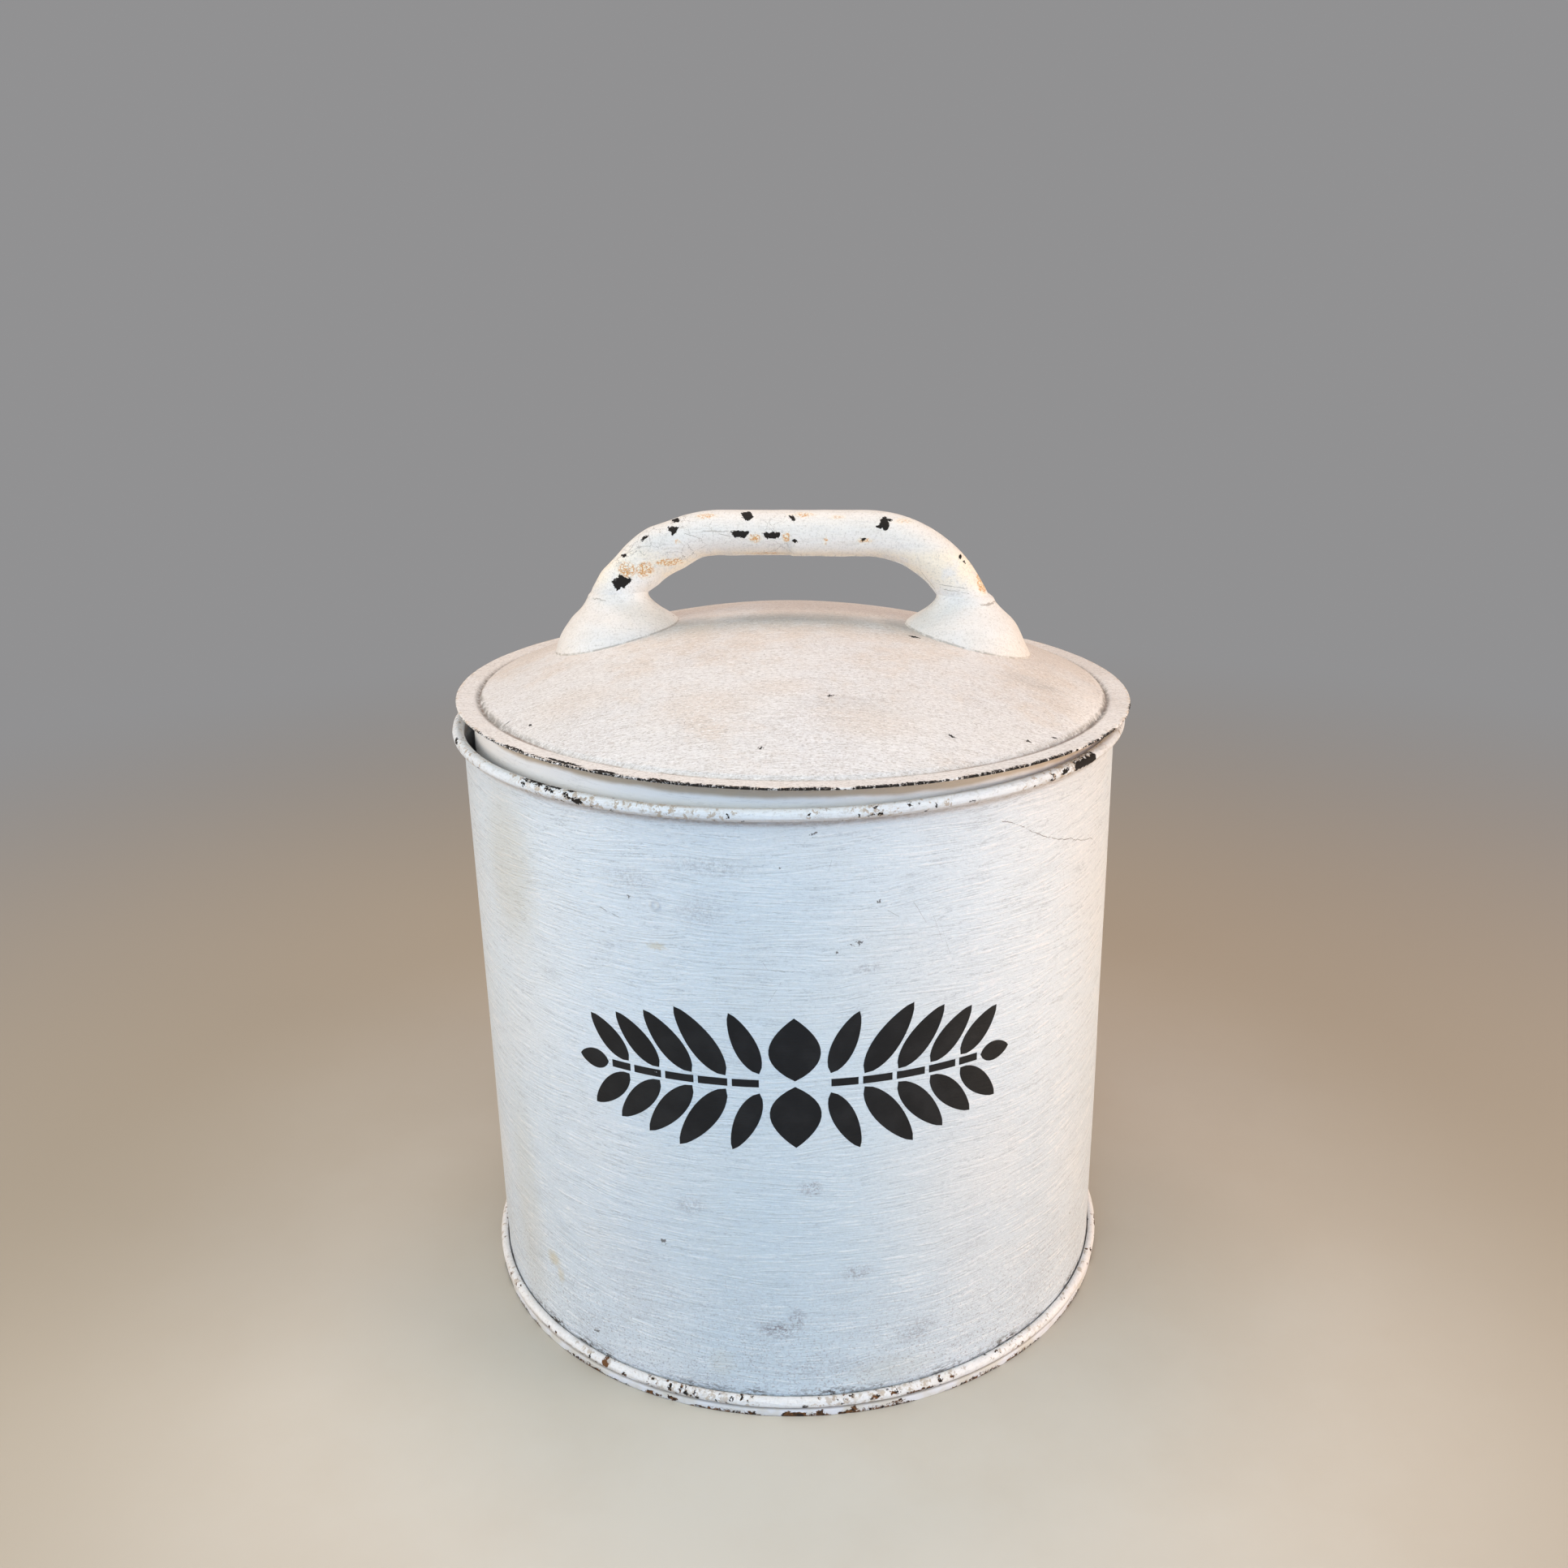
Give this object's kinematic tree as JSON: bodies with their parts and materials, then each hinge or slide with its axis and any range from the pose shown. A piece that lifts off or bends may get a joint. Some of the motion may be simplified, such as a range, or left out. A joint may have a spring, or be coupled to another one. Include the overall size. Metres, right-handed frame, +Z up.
{
  "type": "bread bin",
  "caption": "Round painted tinplate bread bin with a wired rim and foot and a lift-off domed lid with a tube handle on bell feet.",
  "frame": {"origin": "centre of the bin's base, on the surface that it stands on", "axes": "+Z up along the bin's axis, X along the handle with the lid's low side at +X, -Y is the front"},
  "size_m": [0.3012, 0.2992, 0.3547],
  "materials": {
    "wall_paint": "thick brushed white paint over black, fine chips and hairline cracks",
    "lid_paint": "brushed cream paint, dusty, black where the edge is worn",
    "collar_paint": "brushed white paint, rubbed",
    "handle_paint": "white paint over black, flaked, with rust stains",
    "base_paint": "white paint, chipped and dirty at the floor, bare inside",
    "stencil_black": "flat black stencil paint",
    "bare_steel": "drawn wire, dull",
    "solder": "dull grey, smooth run"
  },
  "bodies": {
    "bin": {"body_wall": "wall_paint", "rim_wire": "bare_steel", "foot_wire": "bare_steel", "base_pan": "base_paint", "base_solder": "solder"},
    "lid": {"lid_top": "lid_paint", "lid_collar": "collar_paint", "handle_tube": "handle_paint", "handle_foot_left": "handle_paint", "handle_foot_right": "handle_paint"}
  },
  "joints": [
    {"name": "lid_lift", "type": "slide", "parent": "bin", "child": "lid", "axis": [0, 0, 1], "range_m": [0, 0.15]}
  ]
}
